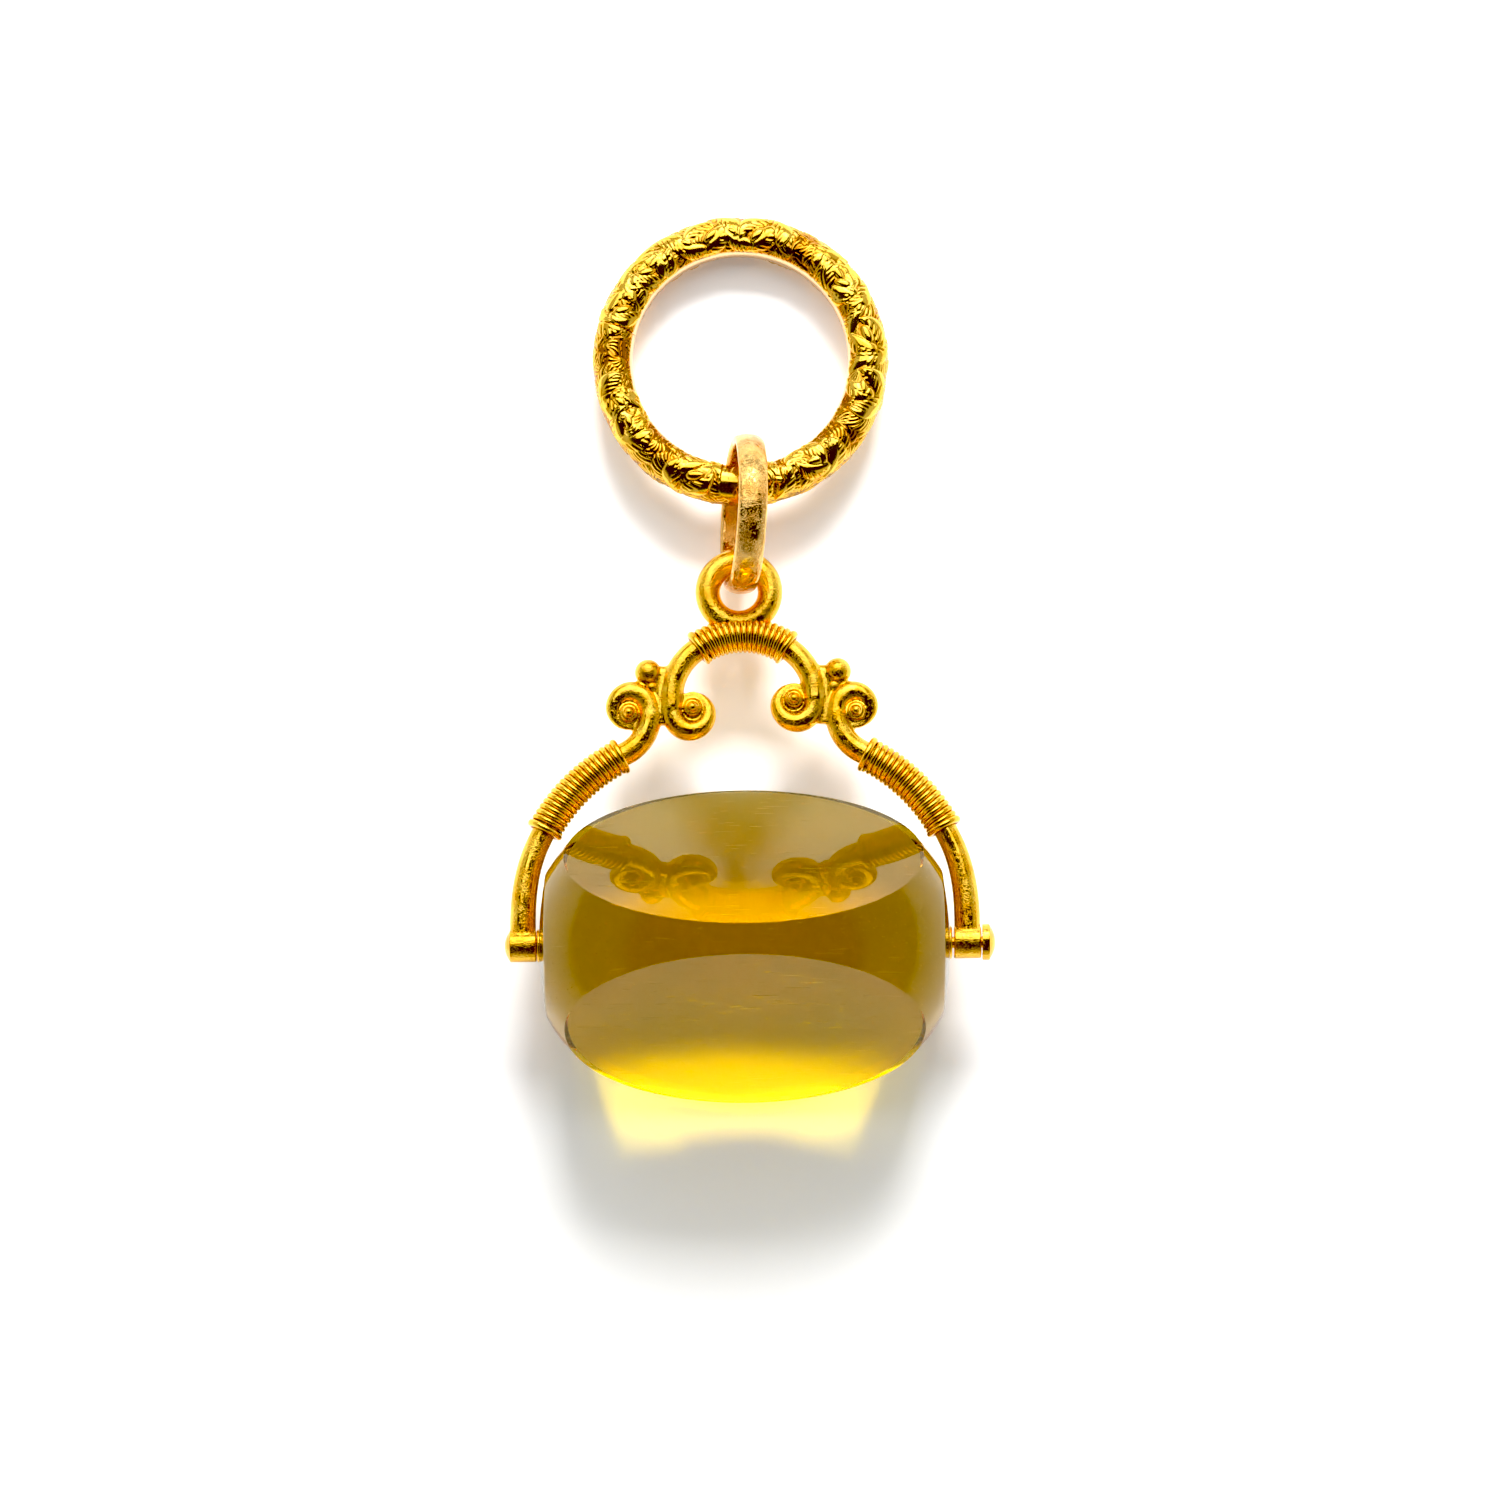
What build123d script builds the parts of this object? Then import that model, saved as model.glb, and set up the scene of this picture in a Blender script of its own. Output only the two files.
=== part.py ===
# A Victorian swivel fob that lies on a table: a three-sided citrine barrel turns on two short pins
# in a scrolled gold yoke, which hangs by a plain link from a split ring chased with leaf scrolls.
# Millimetres. X runs along the swivel pins, +Y from the stone to the split ring, +Z up.
# The origin is the centre of the stone's resting face.
import os
from math import asin, cos, degrees, radians, sin, sqrt

from build123d import *

# Stone: a barrel turned about X and cut by three flat faces at equal distance from its axis
stone_radius = 10.43
stone_ellipse_half_length = 13.02
stone_face_distance = 5.97
stone_end_x = 12.27
stone_end_dome_radius = 21.8
stone_end_rounding = 0.9
stone_face_angles = (-90, 30, 150)

# Swivel: pins, collars set in the stone, and the play between collar and knuckle
pin_radius = 0.35
pin_running_clearance = 0.05
pin_reach = 1.30
collar_flange_radius = 1.00
collar_flange_thickness = 0.50
collar_proud = 0.11
collar_edge_rounding = 0.12
bush_radius = 0.62
bush_depth = 1.50
setting_gap = 0.03
left_end_play = 0.03
right_end_play = 0.12

# Yoke: bars, knuckles and arms, measured in the yoke's own plane
yoke_drop_deg = 5.8
bar_radius = 0.72
knuckle_radius = 0.96
knuckle_width = 1.60
knuckle_rounding = 0.10
knuckle_dome_height = 0.30
arm_foot_radius = 0.78
arm_straight_length = 1.80
arm_bend_radius = 10.85
arm_bend_deg = 64.2
arm_taper_deg = 24.0
arm_return_radius = 2.71
arm_solder_depth = 0.142
solder_radius = 0.45
arch_rise = 4.742
arch_crown_half_deg = 36.0
arch_limb_radius = 3.50
left_limb_drop = 0.70
right_limb_drop = 0.22

# Scrolls: size of the whorl, its central boss and the web that closes it
scroll_radius = 1.26
right_outer_scroll_radius = 1.17
scroll_end_lead_deg = 5.0
scroll_boss_radius = 0.54
scroll_boss_height = 0.62
scroll_granule_radius = 0.30
scroll_web_radius = 1.00
scroll_web_thickness = 0.60

# Small balls that sit in the angle between the arch and each outer scroll
ball_radius = 0.80
ball_offset = 1.40
ball_rise = 2.49
ball_neck_radius = 0.40

# Hanging loop on top of the arch
loop_radius = 1.88
loop_wire_radius = 0.74
loop_rise = 2.63
loop_offset = -0.20

# Wire windings
wire_radius = 0.18
wire_pitch = 0.35
wrap_gap = 0.02
wrap_bore_overrun_deg = 2.0
wrap_groove_depth = 0.9
wrap_collar_radius = 0.21
side_wrap_top_deg = 63.5
side_wrap_bottom_deg = 27.5
top_wrap_half_deg = 35.0

# Swivel screw head
screw_head_radius = 1.08
screw_head_rim = 0.38
screw_head_dome = 0.40
screw_head_gap = 0.09

# Connecting link
link_outer_radius = 4.86
link_thickness = 0.72
link_width = 1.76
link_crown = 0.28
link_inner_rounding = 0.28
link_outer_rounding = 0.12
link_lean_deg = 7.0
link_yaw_deg = 2.9
link_gap = 0.15

# Split ring
ring_radius = 7.70
ring_tube_radius = 1.16
ring_relief_height = 0.115
ring_band_width = 1.10
ring_band_proud = 0.10
ring_seam_deg = 165.0
ring_seam_slant_deg = 8.0
ring_seam_width = 0.06
ring_motifs = 20
ring_link_offset = 1.95
ring_rest_gap = 0.16

# Clearance under whatever lies on the table
floor_gap = 0.01

# Worked out from the sizes above
pin_height = stone_face_distance
collar_face_x = stone_end_x + collar_proud
yoke_center_x = (right_end_play - left_end_play) / 2
yoke_half_gap = collar_face_x + (right_end_play + left_end_play) / 2
arm_x = yoke_half_gap + knuckle_width / 2
arm_bend_x = arm_x - arm_bend_radius
yoke_plane = Plane(
    origin=(yoke_center_x, 0, pin_height),
    x_dir=(1, 0, 0),
    z_dir=(0, sin(radians(yoke_drop_deg)), cos(radians(yoke_drop_deg))),
)


def on_yoke(x, y):
    """World point of a point given in the yoke's plane."""
    return yoke_plane.from_local_coords(Vector(x, y, 0))


def heading(deg):
    """World direction of an angle in the yoke's plane, counted from +X towards the ring."""
    return on_yoke(cos(radians(deg)), sin(radians(deg))) - on_yoke(0, 0)


def pin_plane(side, x):
    """Plane across the pin axis at x on the left (-1) or right (1), facing outwards."""
    return Plane(origin=(side * x, 0, pin_height), x_dir=(0, 1, 0), z_dir=(side, 0, 0))


def dome(rim_x, rim_radius, height):
    """Three points of a spherical end from its rim to the pin axis; a negative height faces left."""
    ball = (rim_radius**2 + height**2) / (2 * abs(height))
    half_turn = asin(rim_radius / ball) / 2
    top_x = rim_x + height
    middle_x = top_x - ball * (1 - cos(half_turn)) * height / abs(height)
    return (rim_x, rim_radius), (middle_x, ball * sin(half_turn)), (top_x, 0)


def rod(path, radius):
    """Round bar along a wire of tangent runs and arcs."""
    with BuildPart() as bar:
        with BuildSketch(Plane(origin=path @ 0, x_dir=yoke_plane.z_dir, z_dir=path % 0)):
            Circle(radius)
        sweep(path=path)
    return bar.part


def strut(start, end, radius):
    """Straight round bar from one point to another."""
    with BuildPart() as bar:
        with BuildSketch(Plane(origin=start, x_dir=yoke_plane.z_dir, z_dir=end - start)):
            Circle(radius)
        extrude(amount=(end - start).length)
    return bar.part


def tapered(spots, radii, tangents):
    """Round wire through the given points, with its own radius at each of them."""
    with BuildLine() as path:
        Spline(*spots, tangents=tangents)
    centre_line = path.edge()
    with BuildPart() as wire:
        for spot, radius in zip(spots, radii):
            along = centre_line % centre_line.param_at_point(spot)
            with BuildSketch(Plane(origin=spot, x_dir=yoke_plane.z_dir, z_dir=along)):
                Circle(radius)
        loft()
    return wire.part


# Swivel stone: the barrel is turned, its shoulders rounded, then the three faces are cut
with BuildPart() as swivel_stone:
    with BuildSketch(Plane.XY.offset(pin_height)):
        Ellipse(stone_ellipse_half_length, stone_radius)
        for side in (-1, 1):
            with Locations((side * (stone_end_x - stone_end_dome_radius), 0)):
                Circle(stone_end_dome_radius, mode=Mode.INTERSECT)
        with Locations((0, stone_radius)):
            Rectangle(4 * stone_end_x, 2 * stone_radius, mode=Mode.INTERSECT)
    revolve(axis=Axis((0, 0, pin_height), (1, 0, 0)))
    fillet(swivel_stone.edges().filter_by(GeomType.CIRCLE), stone_end_rounding)
    for face_deg in stone_face_angles:
        outward = Vector(0, cos(radians(face_deg)), sin(radians(face_deg)))
        face_centre = Vector(0, 0, pin_height) + outward * stone_face_distance
        split(bisect_by=Plane(origin=face_centre, x_dir=(1, 0, 0), z_dir=outward), keep=Keep.BOTTOM)
    with Locations(pin_plane(-1, collar_face_x), pin_plane(1, collar_face_x)):
        CounterBoreHole(
            radius=bush_radius + setting_gap,
            counter_bore_radius=collar_flange_radius + setting_gap,
            counter_bore_depth=collar_flange_thickness + setting_gap,
            depth=bush_depth + setting_gap,
        )


def stone_collar(side):
    """Flanged bush that lines a hole of the stone and runs on the pin."""
    face = pin_plane(side, collar_face_x)
    with BuildPart() as collar:
        with BuildSketch(face):
            Circle(collar_flange_radius)
        extrude(amount=-collar_flange_thickness)
        fillet(collar.edges().group_by(Axis.X)[-1 if side > 0 else 0], collar_edge_rounding)
        with BuildSketch(face):
            Circle(bush_radius)
        extrude(amount=-bush_depth)
        with Locations(face):
            Hole(pin_radius + pin_running_clearance, depth=bush_depth)
    return collar.part


stone_collar_left = stone_collar(-1)
stone_collar_right = stone_collar(1)


# Whorl of a scroll: turn from its start, distance from the boss as a share of the scroll's radius,
# and thickness of the wire as a share of bar_radius
scroll_rows = [
    # turn_deg, distance, thickness
    (-12, 1.00, 0.96),
    (0, 1.00, 0.96),
    (35, 1.04, 0.95),
    (75, 1.08, 0.91),
    (110, 1.00, 0.81),
    (145, 0.86, 0.70),
    (180, 0.73, 0.59),
    (220, 0.63, 0.47),
    (265, 0.54, 0.36),
    (305, 0.47, 0.27),
]


def whorl(x, y, start_deg, turn, size=scroll_radius):
    """Tapering wire that winds in to the boss at x, y from the side that start_deg gives."""
    spots = []
    radii = []
    for turn_deg, distance, thickness in scroll_rows:
        angle = radians(start_deg + turn * turn_deg)
        reach = size * distance
        spots.append(on_yoke(x + reach * cos(angle), y + reach * sin(angle)))
        radii.append(bar_radius * thickness)
    last_turn = scroll_rows[-1][0]
    first_turn = scroll_rows[0][0]
    ends = (
        heading(start_deg + turn * (first_turn + 90)),
        heading(start_deg + turn * (last_turn + 90 + scroll_end_lead_deg)),
    )
    return tapered(spots, radii, ends)


def boss(x, y):
    """Domed boss with a granule on each side, and the thin web that closes the scroll."""
    middle = Plane(origin=on_yoke(x, y), x_dir=yoke_plane.x_dir, z_dir=yoke_plane.z_dir)
    with BuildPart() as centre:
        with BuildSketch(middle):
            Circle(scroll_boss_radius)
        extrude(amount=scroll_boss_height, both=True)
        rims = centre.edges().filter_by(GeomType.CIRCLE)
        fillet(rims, scroll_boss_radius / 2)
        with BuildSketch(middle):
            Circle(scroll_web_radius)
        extrude(amount=scroll_web_thickness / 2, both=True)
        with Locations(middle.offset(scroll_boss_height), middle.offset(-scroll_boss_height)):
            Sphere(scroll_granule_radius)
    return centre.part


# Side arms: a taper from the knuckle, the long bend, the return bend, then the outer scroll
bend_top = radians(arm_bend_deg)
bend_foot = radians(arm_taper_deg)
return_x = arm_bend_x + (arm_bend_radius + arm_return_radius) * cos(bend_top)
return_y = arm_straight_length + (arm_bend_radius + arm_return_radius) * sin(bend_top)
inner_return_x = return_x - arm_return_radius


def outer_scroll_radius(side):
    """Radius of the outer scroll on the left (-1) or right (1)."""
    return right_outer_scroll_radius if side > 0 else scroll_radius


def side_arm(side):
    """One arm of the yoke from its knuckle to the end of its outer scroll."""
    spots = [on_yoke(side * arm_x, knuckle_radius / 2), on_yoke(side * arm_x, arm_straight_length)]
    radii = [arm_foot_radius, arm_foot_radius]
    for share in (0.5, 1.0):
        angle = bend_foot * share
        spots.append(
            on_yoke(
                side * (arm_bend_x + arm_bend_radius * cos(angle)),
                arm_straight_length + arm_bend_radius * sin(angle),
            )
        )
        radii.append(arm_foot_radius + (bar_radius - arm_foot_radius) * share)
    inward = 90 + side * arm_taper_deg
    foot = tapered(spots, radii, (heading(90), heading(inward)))
    with BuildLine(yoke_plane) as bends:
        if side > 0:
            CenterArc((arm_bend_x, arm_straight_length), arm_bend_radius, arm_taper_deg,
                      arm_bend_deg - arm_taper_deg)
            CenterArc((return_x, return_y), arm_return_radius, 180, arm_bend_deg)
        else:
            CenterArc((-arm_bend_x, arm_straight_length), arm_bend_radius, 180 - arm_bend_deg,
                      arm_bend_deg - arm_taper_deg)
            CenterArc((-return_x, return_y), arm_return_radius, -arm_bend_deg, arm_bend_deg)
    scroll_start = 90 + side * 90
    size = outer_scroll_radius(side)
    boss_x = side * (inner_return_x + size)
    return [
        foot,
        rod(bends.wire(), bar_radius),
        whorl(boss_x, return_y, scroll_start, -side, size),
        boss(boss_x, return_y),
    ]


# Arch: a crown arc and two tighter limbs, soldered to the arms, which run down into the inner scrolls
arch_height = return_y + arch_rise
limb_foot_x = inner_return_x - 2 * bar_radius + arm_solder_depth
limb_x = limb_foot_x - arch_limb_radius
crown_end = radians(90 - arch_crown_half_deg)
arch_crown_radius = arch_limb_radius + limb_x / cos(crown_end)
crown_y = arch_height - arch_crown_radius
limb_y = crown_y + (arch_crown_radius - arch_limb_radius) * sin(crown_end)
inner_boss_x = limb_foot_x - scroll_radius


def arch():
    """Arch with both inner scrolls, as a list of solids."""
    with BuildLine(yoke_plane) as curve:
        limb_turn = 90 - arch_crown_half_deg
        Line((-limb_foot_x, limb_y - left_limb_drop), (-limb_foot_x, limb_y))
        CenterArc((-limb_x, limb_y), arch_limb_radius, 180 - limb_turn, limb_turn)
        CenterArc((0, crown_y), arch_crown_radius, limb_turn, 2 * arch_crown_half_deg)
        CenterArc((limb_x, limb_y), arch_limb_radius, 0, limb_turn)
        Line((limb_foot_x, limb_y), (limb_foot_x, limb_y - right_limb_drop))
    left_y = limb_y - left_limb_drop
    right_y = limb_y - right_limb_drop
    return [
        rod(curve.wire(), bar_radius),
        whorl(-inner_boss_x, left_y, 180, 1),
        boss(-inner_boss_x, left_y),
        whorl(inner_boss_x, right_y, 0, -1),
        boss(inner_boss_x, right_y),
    ]


def ball(side):
    """Ball beside the arch, with its two short necks and the solder that fills the seam below it."""
    ball_height = return_y + ball_rise
    centre = on_yoke(side * (limb_foot_x + ball_offset), ball_height)
    limb_spot = on_yoke(side * limb_foot_x, ball_height)
    size = outer_scroll_radius(side)
    scroll_spot = on_yoke(side * (inner_return_x + size / 2), return_y + size)
    with BuildPart() as bead:
        with Locations(Location(centre, (0, 0, 90))):
            Sphere(ball_radius)
    seam_x = side * (limb_foot_x + inner_return_x) / 2
    return [
        bead.part,
        strut(centre, limb_spot, ball_neck_radius),
        strut(centre, scroll_spot, ball_neck_radius),
        strut(on_yoke(seam_x, ball_height), on_yoke(seam_x, return_y - bar_radius), solder_radius),
    ]


loop_plane = Plane(
    origin=on_yoke(loop_offset, arch_height + loop_rise),
    x_dir=yoke_plane.x_dir,
    z_dir=yoke_plane.z_dir,
)
axis_plane = Plane.XY.offset(pin_height)
pin_axis = Axis((0, 0, pin_height), (1, 0, 0))
left_inner_x = yoke_center_x - yoke_half_gap
left_outer_x = left_inner_x - knuckle_width
right_inner_x = yoke_center_x + yoke_half_gap
right_outer_x = right_inner_x + knuckle_width
yoke_solids = side_arm(-1) + side_arm(1) + arch() + ball(-1) + ball(1)

# Yoke: all that is soldered together, from the loop down to the knuckles and the fixed left pin
with BuildPart() as yoke:
    add(yoke_solids)
    with Locations(loop_plane):
        Torus(loop_radius, loop_wire_radius)
    with BuildSketch(axis_plane):
        with BuildLine():
            Polyline(
                (left_outer_x - knuckle_dome_height, 0),
                (left_inner_x + left_end_play + pin_reach, 0),
                (left_inner_x + left_end_play + pin_reach, pin_radius),
                (left_inner_x, pin_radius),
                (left_inner_x, knuckle_radius - knuckle_rounding),
                (left_inner_x - knuckle_rounding, knuckle_radius),
                (left_outer_x + knuckle_rounding, knuckle_radius),
                (left_outer_x, knuckle_radius - knuckle_rounding),
            )
            ThreePointArc(*dome(left_outer_x, knuckle_radius - knuckle_rounding, -knuckle_dome_height))
        make_face()
    revolve(axis=pin_axis)
    with BuildSketch(axis_plane):
        with BuildLine():
            Polyline(
                (right_inner_x, 0),
                (right_outer_x, 0),
                (right_outer_x, knuckle_radius - knuckle_rounding),
                (right_outer_x - knuckle_rounding, knuckle_radius),
                (right_inner_x + knuckle_rounding, knuckle_radius),
                (right_inner_x, knuckle_radius - knuckle_rounding),
                close=True,
            )
        make_face()
    revolve(axis=pin_axis)
    with Locations(pin_plane(1, right_outer_x)):
        Hole(pin_radius + setting_gap, depth=knuckle_width)

# Swivel screw: domed head outside the right knuckle, shank through it into the stone's collar
with BuildPart() as swivel_screw:
    head_x = right_outer_x + screw_head_gap
    tip_x = right_inner_x - right_end_play - pin_reach
    with BuildSketch(axis_plane):
        with BuildLine():
            Polyline(
                (head_x + screw_head_rim + screw_head_dome, 0),
                (tip_x, 0),
                (tip_x, pin_radius),
                (head_x, pin_radius),
                (head_x, screw_head_radius),
                (head_x + screw_head_rim, screw_head_radius),
            )
            ThreePointArc(*dome(head_x + screw_head_rim, screw_head_radius, screw_head_dome))
        make_face()
    revolve(axis=pin_axis)


def winding(centre_x, centre_y, arc_radius, low_deg, high_deg):
    """Wire wound round an arc of the yoke, between two slightly thicker end collars."""
    bore_radius = bar_radius + wrap_gap
    collar_deg = degrees(2 * wrap_collar_radius / arc_radius)
    wound_deg = high_deg - low_deg - 2 * collar_deg
    turns = int(arc_radius * radians(wound_deg) / wire_pitch)
    turn_deg = wound_deg / turns
    crest = bore_radius + 2 * wire_radius
    valley = crest - wire_radius * wrap_groove_depth
    collar = bore_radius + 2 * wrap_collar_radius
    first = low_deg + collar_deg
    last = high_deg - collar_deg
    rows = [(low_deg, valley), (low_deg + collar_deg / 2, collar), (first, valley)]
    for turn in range(turns):
        rows.append((first + turn_deg * (turn + 0.5), crest))
        rows.append((first + turn_deg * (turn + 1), valley))
    rows += [(last + collar_deg / 2, collar), (high_deg, valley)]
    with BuildLine(yoke_plane) as core:
        CenterArc(
            (centre_x, centre_y),
            arc_radius,
            low_deg - wrap_bore_overrun_deg,
            high_deg - low_deg + 2 * wrap_bore_overrun_deg,
        )
    path = core.wire()
    with BuildPart() as wrap:
        for angle_deg, radius in rows:
            reach_x = arc_radius * cos(radians(angle_deg))
            reach_y = arc_radius * sin(radians(angle_deg))
            spot = on_yoke(centre_x + reach_x, centre_y + reach_y)
            across = Plane(origin=spot, x_dir=yoke_plane.z_dir, z_dir=heading(angle_deg + 90))
            with BuildSketch(across):
                Circle(radius)
        loft(ruled=True)
        with BuildSketch(Plane(origin=path @ 0, x_dir=yoke_plane.z_dir, z_dir=path % 0)):
            Circle(bore_radius)
        sweep(path=path, mode=Mode.SUBTRACT)
    return wrap.part


with BuildPart() as wire_wrap_top:
    add(winding(0, crown_y, arch_crown_radius, 90 - top_wrap_half_deg, 90 + top_wrap_half_deg))
    with Locations(loop_plane):
        Torus(loop_radius, loop_wire_radius + wrap_gap, mode=Mode.SUBTRACT)
wire_wrap_left = winding(
    -arm_bend_x, arm_straight_length, arm_bend_radius, 180 - side_wrap_top_deg, 180 - side_wrap_bottom_deg
)
wire_wrap_right = winding(
    arm_bend_x, arm_straight_length, arm_bend_radius, side_wrap_bottom_deg, side_wrap_top_deg
)

# Connecting link: stands on its rim, leans to the right and is turned a little
link_lean = radians(link_lean_deg)
link_yaw = radians(link_yaw_deg)
link_axis = Vector(
    cos(link_lean) * cos(link_yaw), -cos(link_lean) * sin(link_yaw), -sin(link_lean)
)
link_inner_radius = link_outer_radius - link_thickness
crown_radius = link_width**2 / (8 * link_crown) + link_crown / 2
link_z = (link_outer_radius - crown_radius) * cos(link_lean) + crown_radius + floor_gap
loop_hole_radius = loop_radius - loop_wire_radius
band_half_flat = link_width / 2 - link_inner_rounding
band_seat = link_inner_rounding + sqrt(
    (loop_hole_radius - link_gap - link_inner_rounding) ** 2 - band_half_flat**2
)
band_spot = on_yoke(loop_offset, arch_height + loop_rise + band_seat)
link_y = band_spot.Y + sqrt(link_inner_radius**2 - (link_z - band_spot.Z) ** 2)
link_slope_y = (link_y - band_spot.Y) * sin(link_yaw) * cos(link_lean)
link_slope_z = (link_z - band_spot.Z) * sin(link_lean)
link_x = band_spot.X + (link_slope_y + link_slope_z) / link_axis.X
link_centre = Vector(link_x, link_y, link_z)
link_radial = Vector(sin(link_yaw), cos(link_yaw), 0)
with BuildPart() as connecting_link:
    with BuildSketch(
        Plane(origin=link_centre, x_dir=link_radial, z_dir=link_radial.cross(link_axis))
    ) as link_section:
        with BuildLine():
            edge_radius = link_outer_radius - link_crown
            Polyline(
                (edge_radius, -link_width / 2),
                (link_inner_radius, -link_width / 2),
                (link_inner_radius, link_width / 2),
                (edge_radius, link_width / 2),
            )
            ThreePointArc(
                (edge_radius, link_width / 2), (link_outer_radius, 0), (edge_radius, -link_width / 2)
            )
        make_face()
        fillet(link_section.vertices().group_by(Axis.X)[0], link_inner_rounding)
        fillet(link_section.vertices().group_by(Axis.X)[-1], link_outer_rounding)
    revolve(axis=Axis(link_centre, link_axis))

# Split ring: one side lies in the link, the far side on the table
relief_radius = ring_tube_radius + ring_relief_height
near_y = link_y + ring_link_offset
near_z = link_z - sqrt((link_inner_radius - relief_radius - ring_rest_gap) ** 2 - ring_link_offset**2)
ring_tilt = asin((near_z - relief_radius - floor_gap) / (2 * ring_radius))
ring_plane = Plane(
    origin=(
        yoke_center_x,
        near_y + ring_radius * cos(ring_tilt),
        near_z - ring_radius * sin(ring_tilt),
    ),
    x_dir=(1, 0, 0),
    z_dir=(0, sin(ring_tilt), cos(ring_tilt)),
)

# Raised leaves of one motif: place along the ring as a share of the motif, place round the tube
# (0 outside, 90 on top), direction of the leaf, then its length and half width
leaf_rows = [
    # along, around_deg, heading_deg, length, half_width
    (0.23, 104, 20, 0.95, 0.25),
    (0.58, 64, 45, 0.95, 0.26),
    (0.91, 22, 75, 0.90, 0.25),
]


def leaf(along, around_deg, heading_deg, length, half_width, face):
    """Pointed raised leaf on the tube, on the upper (1) or lower (-1) face of the ring."""
    motif_deg = 360 / ring_motifs
    ring_deg = motif_deg * (along if face > 0 else 1 - along)
    out = Vector(cos(radians(ring_deg)), sin(radians(ring_deg)), 0)
    normal = out * cos(radians(around_deg)) + Vector(0, 0, face * sin(radians(around_deg)))
    depth = half_width - ring_relief_height
    spot = out * ring_radius + normal * (ring_tube_radius - depth)
    ahead = Vector(-out.Y, out.X, 0)
    seat = Plane(origin=spot, x_dir=ahead, z_dir=normal).rotated((0, 0, face * heading_deg))
    with BuildPart() as blade:
        with BuildSketch(seat):
            with BuildLine():
                EllipticalCenterArc((0, 0), length / 2, half_width, arc_size=180)
                Line((-length / 2, 0), (length / 2, 0))
            make_face()
        revolve(axis=Axis(seat.origin, seat.x_dir))
    return blade.part


leaves = [leaf(*row, face) for face in (1, -1) for row in leaf_rows]
with BuildPart() as split_ring:
    with BuildSketch(Plane.XZ):
        with Locations((ring_radius, 0)):
            Circle(ring_tube_radius)
        with Locations((ring_radius - ring_tube_radius, 0)):
            Rectangle(2 * ring_band_proud, ring_band_width)
    revolve(axis=Axis.Z)
    with PolarLocations(0, ring_motifs):
        add(leaves, clean=False)
    seam_turn = radians(ring_seam_deg)
    seam_spot = Vector(ring_radius * cos(seam_turn), ring_radius * sin(seam_turn), 0)
    with BuildSketch(Plane.XY.offset(-2 * ring_tube_radius)):
        with Locations(Location(seam_spot, (0, 0, ring_seam_deg + ring_seam_slant_deg))):
            Rectangle(4 * ring_tube_radius, ring_seam_width)
    extrude(amount=4 * ring_tube_radius, clean=False, mode=Mode.SUBTRACT)
split_ring.part.locate(ring_plane.location)

pieces = {
    "swivel_stone": swivel_stone.part,
    "stone_collar_left": stone_collar_left,
    "stone_collar_right": stone_collar_right,
    "yoke": yoke.part,
    "swivel_screw": swivel_screw.part,
    "wire_wrap_top": wire_wrap_top.part,
    "wire_wrap_left": wire_wrap_left,
    "wire_wrap_right": wire_wrap_right,
    "connecting_link": connecting_link.part,
    "split_ring": split_ring.part,
}
os.makedirs("parts", exist_ok=True)
for name, piece in pieces.items():
    piece.label = name
    export_step(piece, f"parts/{name}.step")
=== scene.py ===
"""Gold swivel fob with a citrine barrel, lying on a white table.

The soft light comes from beyond its ring, as from a window. Each piece is drawn in millimetres
and then settled in metres, round the frame that the part's own script makes.
"""

from math import asin, atan2, cos, degrees, pi, radians, sin, sqrt

import bpy
import numpy as np
from mathutils import Matrix, Vector


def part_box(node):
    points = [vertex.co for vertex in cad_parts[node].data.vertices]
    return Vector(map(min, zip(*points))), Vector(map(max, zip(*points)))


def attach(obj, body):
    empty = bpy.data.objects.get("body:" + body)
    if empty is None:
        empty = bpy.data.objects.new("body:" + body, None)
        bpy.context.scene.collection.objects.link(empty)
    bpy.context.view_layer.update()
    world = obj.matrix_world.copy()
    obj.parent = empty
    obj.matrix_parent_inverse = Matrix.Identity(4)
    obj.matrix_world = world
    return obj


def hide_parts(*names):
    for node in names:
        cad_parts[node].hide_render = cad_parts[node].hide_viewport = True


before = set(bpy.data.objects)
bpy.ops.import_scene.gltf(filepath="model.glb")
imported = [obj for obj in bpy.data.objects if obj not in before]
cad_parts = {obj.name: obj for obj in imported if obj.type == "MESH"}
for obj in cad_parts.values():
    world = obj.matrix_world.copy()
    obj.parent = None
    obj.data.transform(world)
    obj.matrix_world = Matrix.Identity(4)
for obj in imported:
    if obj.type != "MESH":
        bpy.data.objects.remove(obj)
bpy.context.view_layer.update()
MM = 0.001
TURN = 2 * pi

# Sizes in millimetres, which follow the solids of the part's own script
PIN_HEIGHT = 5.97
YOKE_CENTRE_X = 0.045
YOKE_DROP_DEG = 5.8
YOKE_HALF_GAP = 12.455
KNUCKLE_WIDTH = 1.60
KNUCKLE_RADIUS = 0.97
KNUCKLE_DOME_HEIGHT = 0.30
KNUCKLE_EDGE_ROUNDING = 0.09
SCREW_HEAD_GAP = 0.09
SCREW_HEAD_RADIUS = 1.08
SCREW_HEAD_RIM = 0.38
SCREW_HEAD_DOME = 0.40
SCREW_HEAD_EDGE_ROUNDING = 0.07
SCREW_HEAD_DOME_INSET = 0.03
BAR_RADIUS = 0.72
ARM_BEND_X = 2.405
ARM_BEND_Y = 1.80
ARM_BEND_RADIUS = 10.85
ARCH_CROWN_Y = 13.891
ARCH_CROWN_RADIUS = 4.859
LOOP_PLACE = (-0.20, 21.38)
LOOP_RADIUS = 1.88
LOOP_WIRE_RADIUS = 0.75
BALL_PLACE = (5.699, 16.498)
BALL_RADIUS = 0.81
SOLDER_BEAD_PLACE = (5.50, 15.60)
SOLDER_BEAD_RADIUS = 0.45
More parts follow.
